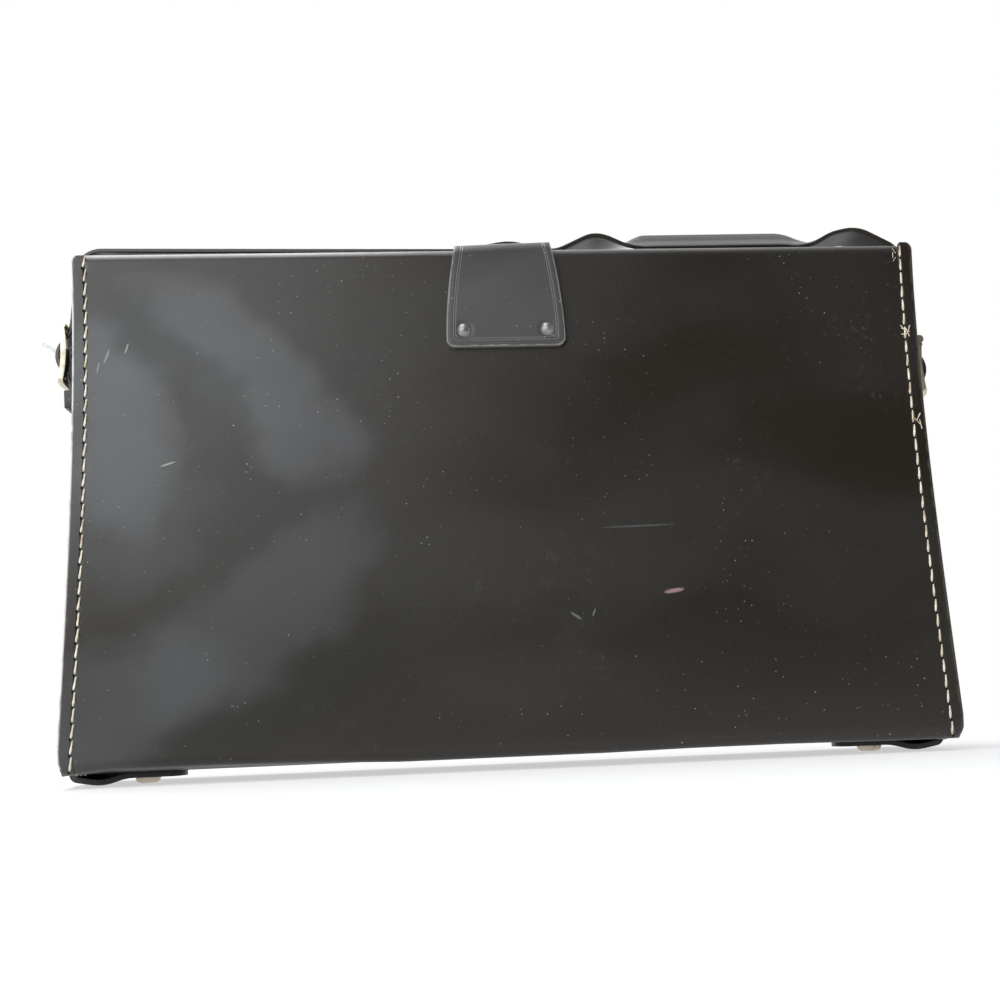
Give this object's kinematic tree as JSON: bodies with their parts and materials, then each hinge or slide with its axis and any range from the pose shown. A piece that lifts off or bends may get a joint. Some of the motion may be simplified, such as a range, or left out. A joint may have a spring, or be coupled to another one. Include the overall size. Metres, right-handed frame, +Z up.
{
  "type": "camera case",
  "caption": "Slim hard leather camera case with a hinged lid and flap, a riveted closing tab with a turn lock, and a carrying strap buckled at each end.",
  "frame": {"origin": "midway between the two foot studs, on the plane that they stand on", "axes": "+X to the right seen from behind, +Y out of the front flap (the back panel is at -Y), +Z up"},
  "size_m": [0.3543, 0.0778, 0.2113],
  "materials": {
    "case_leather": "polished smooth grain",
    "strap_leather": "smooth, worn",
    "stiffening_board": "plain fibre board",
    "lining_cloth": "short pile cloth",
    "nickelled_brass": "worn nickel over brass",
    "dark_rivet": "black japanned",
    "prong_steel": "worn steel"
  },
  "bodies": {
    "case": {"shell_wrap": "case_leather", "gusset_left": "case_leather", "gusset_right": "case_leather", "back_board": "stiffening_board", "bottom_board": "stiffening_board", "front_board": "stiffening_board", "end_board_left": "stiffening_board", "end_board_right": "stiffening_board", "lining": "lining_cloth", "divider": "lining_cloth", "tab_back": "case_leather", "tab_back_rivets": "dark_rivet", "lid_fold": "case_leather", "tab_fold": "case_leather", "lock_base": "nickelled_brass", "lock_rivets": "nickelled_brass", "end_strap_left": "strap_leather", "end_strap_right": "strap_leather", "tail_stud_left": "nickelled_brass", "tail_stud_right": "nickelled_brass", "swing_rivet_left": "nickelled_brass", "swing_rivet_right": "nickelled_brass"},
    "lid": {"lid_cover": "case_leather", "lid_board": "stiffening_board", "lid_lining": "lining_cloth", "flap_lining": "lining_cloth", "tab_top": "case_leather", "tab_front_rivets": "dark_rivet", "lock_plate": "nickelled_brass", "lock_ring": "nickelled_brass"},
    "strap": {"carry_strap": "strap_leather", "buckle_tab_left": "strap_leather", "buckle_tab_right": "strap_leather", "buckle_frame_left": "nickelled_brass", "buckle_frame_right": "nickelled_brass", "keeper_left": "strap_leather", "keeper_right": "strap_leather"},
    "knob": {"lock_knob": "nickelled_brass"},
    "prong_left_body": {"prong_left": "prong_steel"},
    "prong_right_body": {"prong_right": "prong_steel"},
    "roller_left_body": {"buckle_roller_left": "nickelled_brass"},
    "roller_right_body": {"buckle_roller_right": "nickelled_brass"}
  },
  "joints": [
    {"name": "lid_hinge", "type": "hinge", "parent": "case", "child": "lid", "pos_m": [0, -0.0275, 0.1877], "axis": [1, 0, 0], "range_deg": [0, 115], "deforming": ["lid_fold", "tab_fold"]},
    {"name": "strap_swing", "type": "hinge", "parent": "case", "child": "strap", "pos_m": [0, 0, 0.1122], "axis": [1, 0, 0], "range_deg": [0, 115]},
    {"name": "knob_turn", "type": "hinge", "parent": "case", "child": "knob", "pos_m": [0, 0.038, 0.0862], "axis": [0, 1, 0], "range_deg": [0, 90]},
    {"name": "prong_left", "type": "hinge", "parent": "strap", "child": "prong_left_body", "pos_m": [-0.1678, 0, 0.162], "axis": [0, 1, 0], "range_deg": [-31.7, 38.3]},
    {"name": "prong_right", "type": "hinge", "parent": "strap", "child": "prong_right_body", "pos_m": [0.1678, 0, 0.1502], "axis": [0, -1, 0], "range_deg": [-63, 7]},
    {"name": "roller_left", "type": "hinge", "parent": "strap", "child": "roller_left_body", "pos_m": [-0.1688, 0, 0.173], "axis": [0, 1, 0], "continuous": true},
    {"name": "roller_right", "type": "hinge", "parent": "strap", "child": "roller_right_body", "pos_m": [0.1688, 0, 0.1612], "axis": [0, 1, 0], "continuous": true}
  ],
  "couplings": [
    {"joint": "strap_swing", "follows": "lid_hinge", "ratio": 1}
  ]
}
